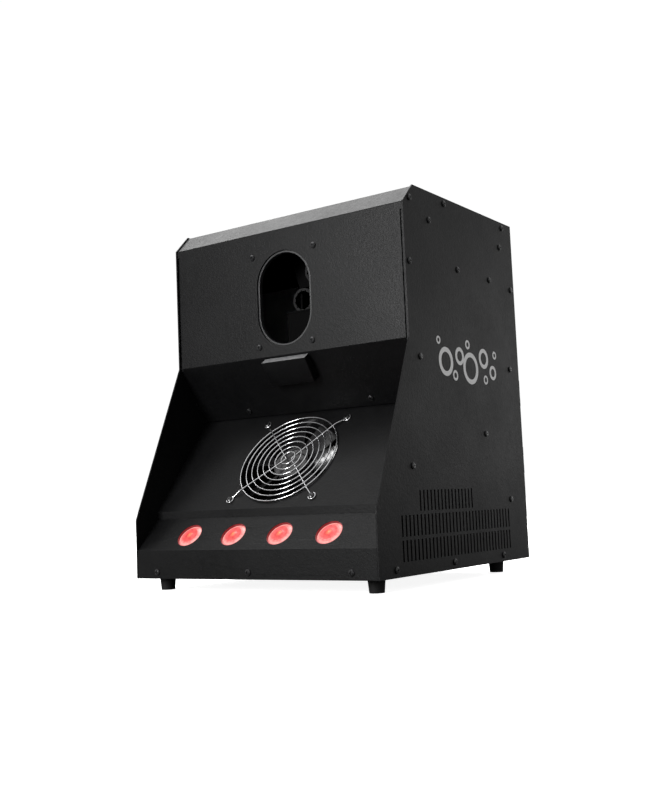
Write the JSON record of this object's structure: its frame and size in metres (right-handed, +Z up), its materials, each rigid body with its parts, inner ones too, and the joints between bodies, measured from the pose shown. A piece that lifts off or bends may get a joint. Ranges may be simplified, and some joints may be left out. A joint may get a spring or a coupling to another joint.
{
  "type": "fog and bubble machine",
  "caption": "Steel-cased fog and bubble machine with round-ended bubble outlet, fog hood, guarded fan, red lamp bar, vented sides, rear tank door and controls.",
  "frame": {"origin": "on the floor under the middle of the whole machine's bounding box", "axes": "+Z up, front with outlets and fan towards -Y, +X to the right when looking from the front"},
  "size_m": [0.3066, 0.3336, 0.397],
  "materials": {
    "case_steel": "fine textured black powder coat",
    "collar_plastic": "satin black",
    "black_plastic": "satin black",
    "chrome_wire": "bright plated wire",
    "black_screw": "glossy black",
    "rubber": "matt black",
    "lens": "clear optic lit red",
    "board": "green circuit board",
    "tank_plastic": "milky white moulded plastic",
    "bare_metal": "bare metal"
  },
  "bodies": {
    "case": {"side_panel_right": "case_steel", "side_panel_left": "case_steel", "top_front_cover": "case_steel", "fan_plate": "case_steel", "led_bar": "case_steel", "base_plate": "case_steel", "rear_panel": "case_steel", "outlet_hood": "case_steel", "tank_bay": "case_steel", "blower_bridge": "case_steel", "cross_rails": "case_steel", "wheel_bracket": "case_steel", "handle_dish": "case_steel", "outlet_collar": "collar_plastic", "fan_frame": "black_plastic", "blower_housing": "black_plastic", "control_frame": "black_plastic", "mains_inlet": "black_plastic", "power_switch": "black_plastic", "dmx_input": "black_plastic", "dmx_output": "black_plastic", "fan_guard": "chrome_wire", "side_screws": "black_screw", "front_screws": "black_screw", "rear_screws": "black_screw", "fan_screws": "black_screw", "foot_front_left": "rubber", "foot_rear_left": "rubber", "foot_front_right": "rubber", "foot_rear_right": "rubber", "fog_hose": "rubber", "suction_hose": "rubber", "led_lens_1": "lens", "led_lens_2": "lens", "led_lens_3": "lens", "led_lens_4": "lens", "led_strip": "board", "control_board": "board", "power_supply": "board", "fog_tank": "tank_plastic", "bubble_tray": "black_plastic", "wheel_motor": "bare_metal", "blower_motor": "bare_metal", "fog_heater": "bare_metal", "fog_nozzle": "bare_metal", "fog_pump": "bare_metal", "door_hinges": "bare_metal"},
    "fan_rotor": {"fan_rotor": "black_plastic"},
    "bubble_wheel": {"bubble_wheel": "black_plastic"},
    "blower_rotor": {"blower_rotor": "black_plastic"},
    "carry_handle": {"carry_handle": "black_plastic"},
    "tank_door": {"tank_door": "case_steel"},
    "door_latch": {"door_latch": "black_plastic"},
    "fog_tank_cap": {"fog_tank_cap": "black_plastic"},
    "switch_rocker": {"switch_rocker": "black_plastic"},
    "button_menu": {"button_menu": "black_plastic"},
    "button_up": {"button_up": "black_plastic"},
    "button_down": {"button_down": "black_plastic"},
    "button_enter": {"button_enter": "black_plastic"}
  },
  "joints": [
    {"name": "fan_spin", "type": "hinge", "parent": "case", "child": "fan_rotor", "pos_m": [0, -0.09214, 0.13125], "axis": [0, -0.7615, 0.6481], "continuous": true},
    {"name": "bubble_wheel_spin", "type": "hinge", "parent": "case", "child": "bubble_wheel", "pos_m": [0.041, -0.0622, 0.3017], "axis": [0, 1, 0], "continuous": true},
    {"name": "blower_spin", "type": "hinge", "parent": "case", "child": "blower_rotor", "pos_m": [0.006, 0.0498, 0.273], "axis": [1, 0, 0], "continuous": true},
    {"name": "handle_fold", "type": "hinge", "parent": "case", "child": "carry_handle", "pos_m": [0, 0.0188, 0.3903], "axis": [1, 0, 0], "range_deg": [0, 90]},
    {"name": "door_swing", "type": "hinge", "parent": "case", "child": "tank_door", "pos_m": [0.1472, 0.1562, 0.141], "axis": [0, 0, -1], "range_deg": [0, 110]},
    {"name": "latch_turn", "type": "hinge", "parent": "tank_door", "child": "door_latch", "pos_m": [0.027, 0.1528, 0.141], "axis": [0, -1, 0], "range_deg": [0, 90]},
    {"name": "tank_cap_turn", "type": "hinge", "parent": "case", "child": "fog_tank_cap", "pos_m": [0.1, 0.0878, 0.168], "axis": [0, 0, 1], "range_deg": [0, 360]},
    {"name": "switch_rock", "type": "hinge", "parent": "case", "child": "switch_rocker", "pos_m": [-0.118, 0.1498, 0.105], "axis": [0, 0, -1], "range_deg": [0, 14]},
    {"name": "button_menu_press", "type": "slide", "parent": "case", "child": "button_menu", "axis": [0, -1, 0], "range_m": [0, 0.0012], "stiffness_N_per_m": 900},
    {"name": "button_up_press", "type": "slide", "parent": "case", "child": "button_up", "axis": [0, -1, 0], "range_m": [0, 0.0012], "stiffness_N_per_m": 900},
    {"name": "button_down_press", "type": "slide", "parent": "case", "child": "button_down", "axis": [0, -1, 0], "range_m": [0, 0.0012], "stiffness_N_per_m": 900},
    {"name": "button_enter_press", "type": "slide", "parent": "case", "child": "button_enter", "axis": [0, -1, 0], "range_m": [0, 0.0012], "stiffness_N_per_m": 900}
  ]
}
